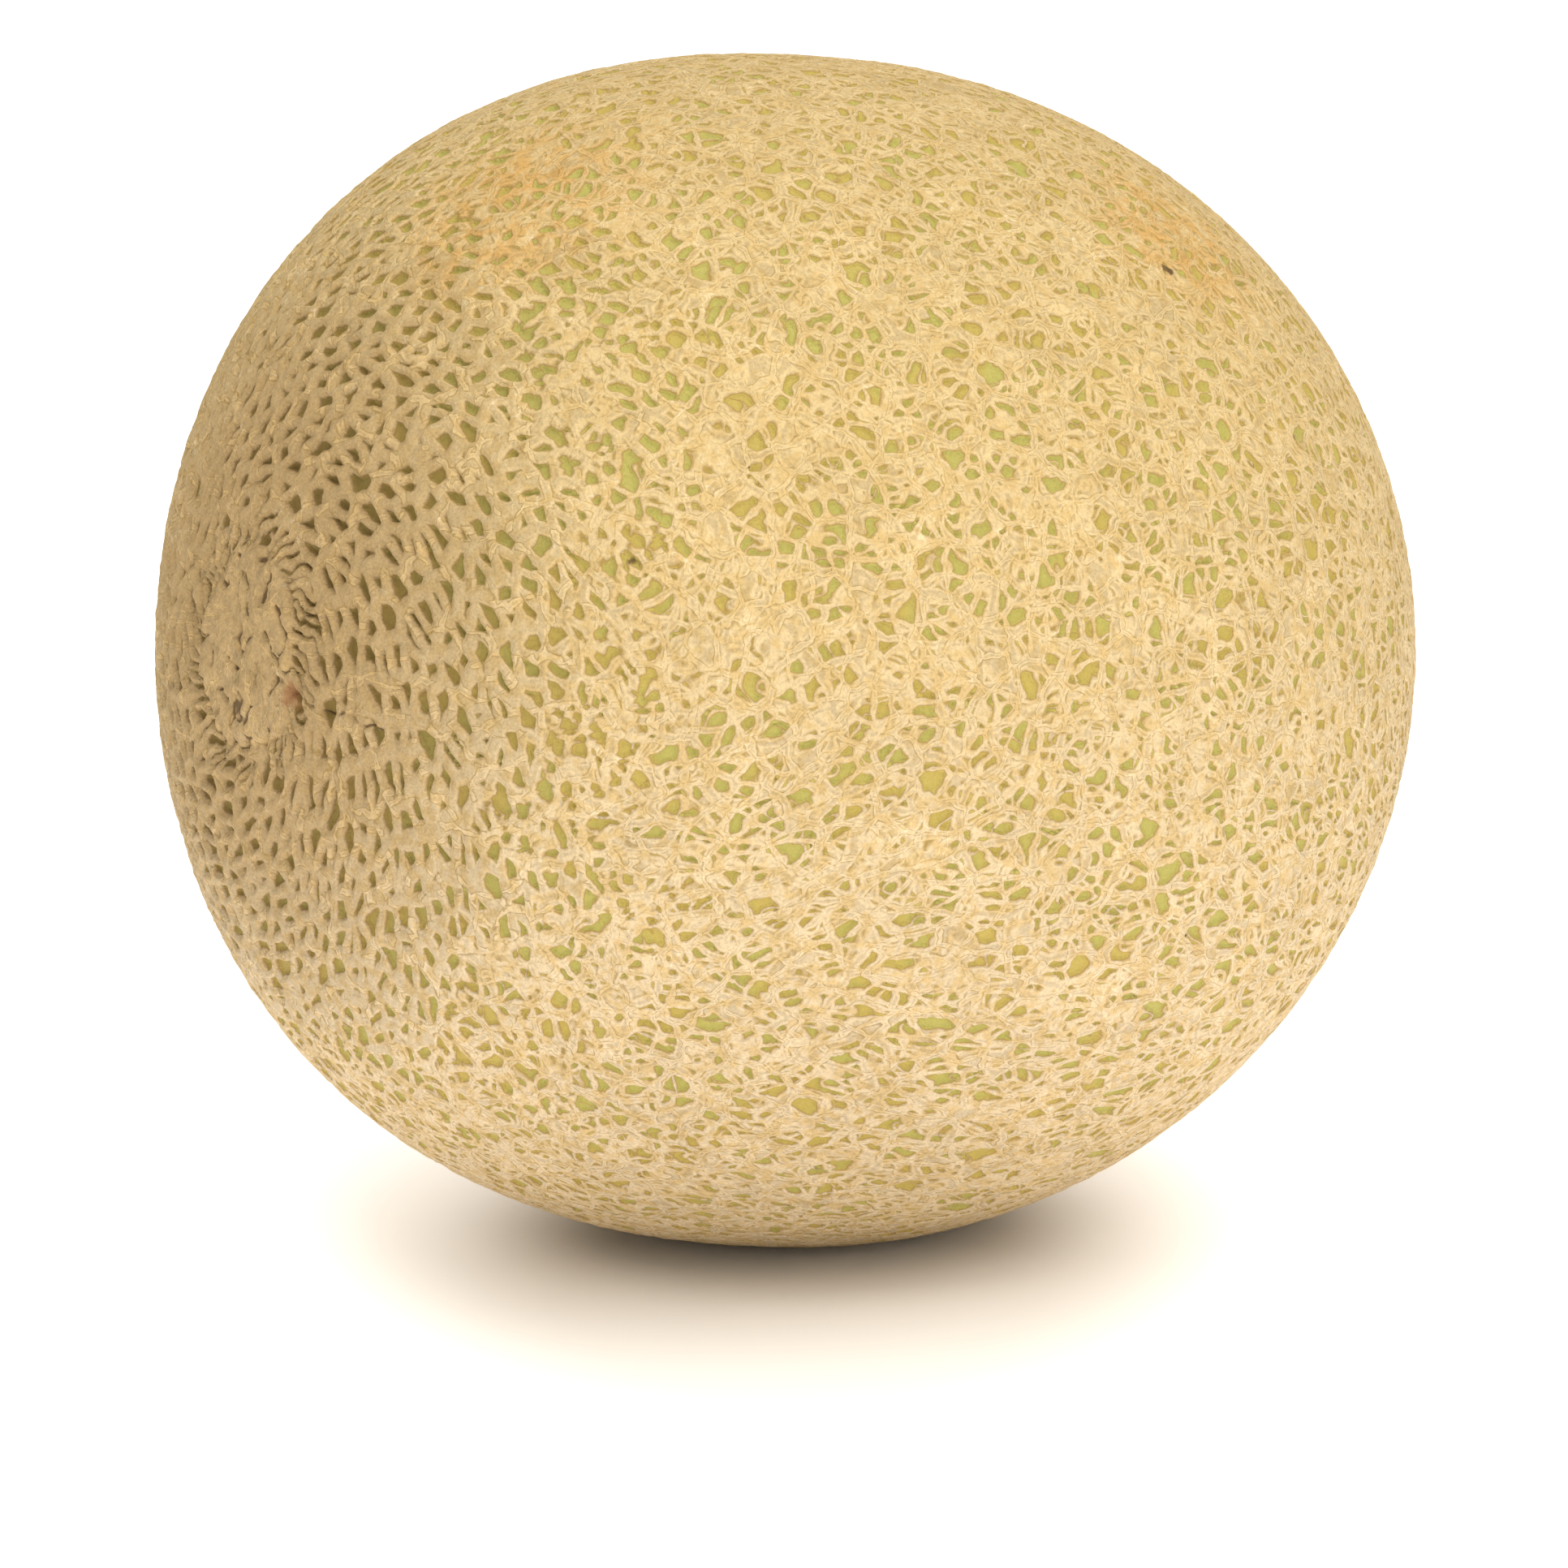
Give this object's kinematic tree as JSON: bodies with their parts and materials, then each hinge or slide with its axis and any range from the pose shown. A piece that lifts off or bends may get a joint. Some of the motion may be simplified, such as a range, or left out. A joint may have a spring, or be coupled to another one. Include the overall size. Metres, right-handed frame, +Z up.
{
  "type": "cantaloupe",
  "caption": "Whole netted melon, nearly round, with a raised corky net over its rind, a rough blossom scar at one end, a stem dish at the other and a small flat resting spot.",
  "frame": {"origin": "middle of the fruit's bounding box at its base, on the plane of the flat spot that it rests on", "axes": "+Z up; +X along the fruit's length, toward the stem's dish, with the blossom scar at -X; the fruit's own axis leans in the XZ plane, so the scar end is a little higher than the stem end; -Y is the side that the picture shows most of"},
  "size_m": [0.162, 0.1536, 0.1532],
  "materials": {
    "netted_rind": "dry matte cork net, buff to tan, over a smooth yellow-green rind"
  },
  "bodies": {
    "root": {"cantaloupe": "netted_rind"}
  },
  "joints": []
}
